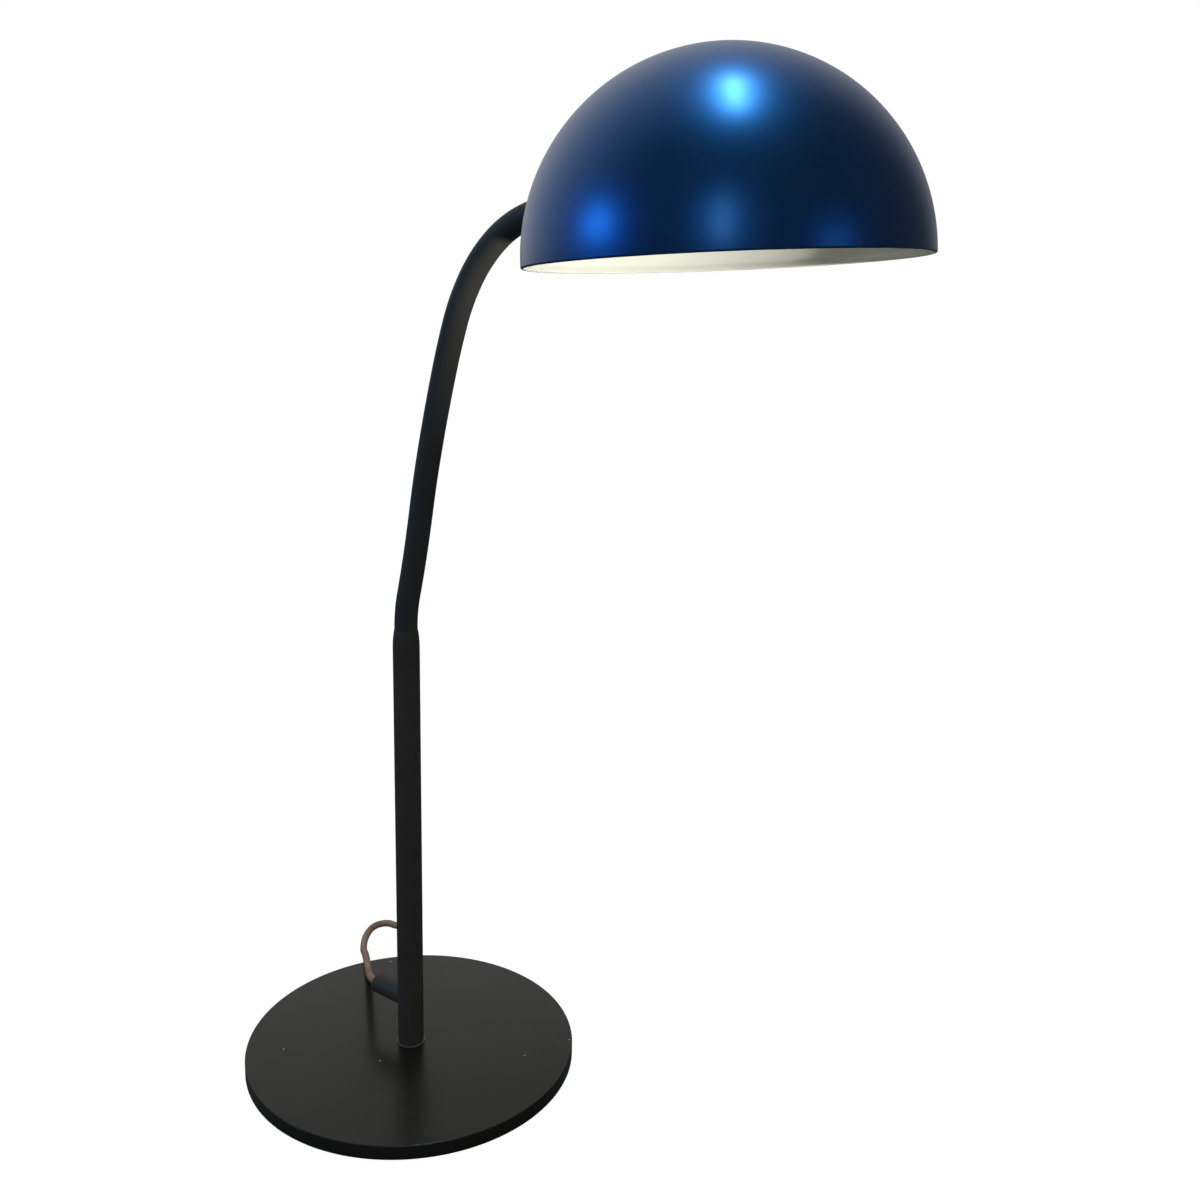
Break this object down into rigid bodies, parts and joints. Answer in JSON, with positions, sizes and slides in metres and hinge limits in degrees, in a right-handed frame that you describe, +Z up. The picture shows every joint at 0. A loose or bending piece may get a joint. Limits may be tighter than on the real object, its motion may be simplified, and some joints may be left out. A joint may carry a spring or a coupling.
{
  "type": "gooseneck desk lamp",
  "caption": "Desk lamp: half-ball metal shade on a flexible sleeved neck, straight pole, round steel base, mains cord with plug.",
  "frame": {"origin": "centre of the base's underside, on the table", "axes": "+Z up along the pole, +X the way the neck leans, cord outlet towards -X"},
  "size_m": [0.611, 0.3899, 0.635],
  "materials": {
    "painted_steel_black": "satin black stove enamel",
    "painted_steel_blue": "gloss metallic blue outside, cream inside",
    "felt": "felt",
    "steel": "zinc plated",
    "sleeve": "matte black sleeve",
    "rubber": "matte",
    "cord": "matte plastic sheath",
    "holder": "glossy moulded plastic",
    "brass": "plain",
    "glass": "frosted"
  },
  "bodies": {
    "base": {"base_plate": "painted_steel_black", "base_felt": "felt", "foot_ring": "steel", "foot_bolt": "steel", "foot_washer": "steel", "pole_insert": "steel", "pole": "painted_steel_black", "cord_outlet": "painted_steel_black", "outlet_bush": "rubber", "neck_bush": "steel", "lamp_lead_lower": "cord", "neck_sleeve_00": "sleeve", "neck_coil_00": "steel", "mains_cord": "cord", "cord_hank": "cord", "hank_tie": "rubber", "plug_body": "rubber", "plug_pins": "brass"},
    "neck_link_1": {"neck_sleeve_01": "sleeve", "neck_coil_01": "steel"},
    "neck_link_2": {"neck_sleeve_02": "sleeve", "neck_coil_02": "steel"},
    "neck_link_3": {"neck_sleeve_03": "sleeve", "neck_coil_03": "steel"},
    "neck_link_4": {"neck_sleeve_04": "sleeve", "neck_coil_04": "steel"},
    "neck_link_5": {"neck_sleeve_05": "sleeve", "neck_coil_05": "steel"},
    "neck_link_6": {"neck_sleeve_06": "sleeve", "neck_coil_06": "steel"},
    "neck_link_7": {"neck_sleeve_07": "sleeve", "neck_coil_07": "steel"},
    "neck_link_8": {"neck_sleeve_08": "sleeve", "neck_coil_08": "steel"},
    "neck_link_9": {"neck_sleeve_09": "sleeve", "neck_coil_09": "steel"},
    "shade": {"neck_sleeve_10": "sleeve", "neck_coil_10": "steel", "neck_nipple": "steel", "shade_seat": "rubber", "shade": "painted_steel_blue", "inner_washer": "steel", "nipple_nut": "steel", "holder_bracket": "steel", "holder_nipple": "steel", "holder_nut": "steel", "holder_cap": "holder", "holder_body": "holder", "holder_insert": "holder", "holder_terminals": "brass", "thread_shell": "brass", "centre_contact": "brass", "bulb_cap": "steel", "bulb_glass": "glass", "lamp_lead_upper": "cord"},
    "switch_knob": {"switch_knob": "rubber"}
  },
  "joints": [
    {"name": "neck_lean_1", "type": "hinge", "parent": "base", "child": "neck_link_1", "pos_m": [0.00288, 0, 0.32197], "axis": [0, 1, 0], "range_deg": [-9, 9]},
    {"name": "neck_side_2", "type": "hinge", "parent": "neck_link_1", "child": "neck_link_2", "pos_m": [0.00928, 0, 0.35025], "axis": [0.9799, 0, -0.1994], "range_deg": [-9, 9]},
    {"name": "neck_lean_3", "type": "hinge", "parent": "neck_link_2", "child": "neck_link_3", "pos_m": [0.01469, 0, 0.37874], "axis": [0, 1, 0], "range_deg": [-9, 9]},
    {"name": "neck_side_4", "type": "hinge", "parent": "neck_link_3", "child": "neck_link_4", "pos_m": [0.02035, 0, 0.40718], "axis": [0.9763, 0, -0.2164], "range_deg": [-9, 9]},
    {"name": "neck_lean_5", "type": "hinge", "parent": "neck_link_4", "child": "neck_link_5", "pos_m": [0.02699, 0, 0.43541], "axis": [0, 1, 0], "range_deg": [-9, 9]},
    {"name": "neck_side_6", "type": "hinge", "parent": "neck_link_5", "child": "neck_link_6", "pos_m": [0.03438, 0, 0.46345], "axis": [0.9636, 0, -0.2672], "range_deg": [-9, 9]},
    {"name": "neck_nod_7", "type": "hinge", "parent": "neck_link_6", "child": "neck_link_7", "pos_m": [0.04297, 0, 0.49114], "axis": [0, 1, 0], "range_deg": [-9, 9]},
    {"name": "neck_side_8", "type": "hinge", "parent": "neck_link_7", "child": "neck_link_8", "pos_m": [0.05543, 0, 0.51726], "axis": [0.848, 0, -0.5299], "range_deg": [-9, 9]},
    {"name": "neck_nod_9", "type": "hinge", "parent": "neck_link_8", "child": "neck_link_9", "pos_m": [0.07429, 0, 0.53914], "axis": [0, 1, 0], "range_deg": [-9, 9]},
    {"name": "neck_nod_10", "type": "hinge", "parent": "neck_link_9", "child": "shade", "pos_m": [0.09943, 0, 0.55322], "axis": [0, 1, 0], "range_deg": [-9, 9]},
    {"name": "switch_turn", "type": "hinge", "parent": "shade", "child": "switch_knob", "pos_m": [0.16017, 0.01985, 0.57947], "axis": [-0.0052, 0.9997, -0.0257], "range_deg": [0, 90]}
  ],
  "couplings": [
    {"joint": "neck_lean_3", "follows": "neck_lean_1", "ratio": 1},
    {"joint": "neck_side_4", "follows": "neck_side_2", "ratio": 1},
    {"joint": "neck_lean_5", "follows": "neck_lean_1", "ratio": 1},
    {"joint": "neck_side_6", "follows": "neck_side_2", "ratio": 1},
    {"joint": "neck_side_8", "follows": "neck_side_2", "ratio": 1},
    {"joint": "neck_nod_9", "follows": "neck_nod_7", "ratio": 1},
    {"joint": "neck_nod_10", "follows": "neck_nod_7", "ratio": 1}
  ]
}
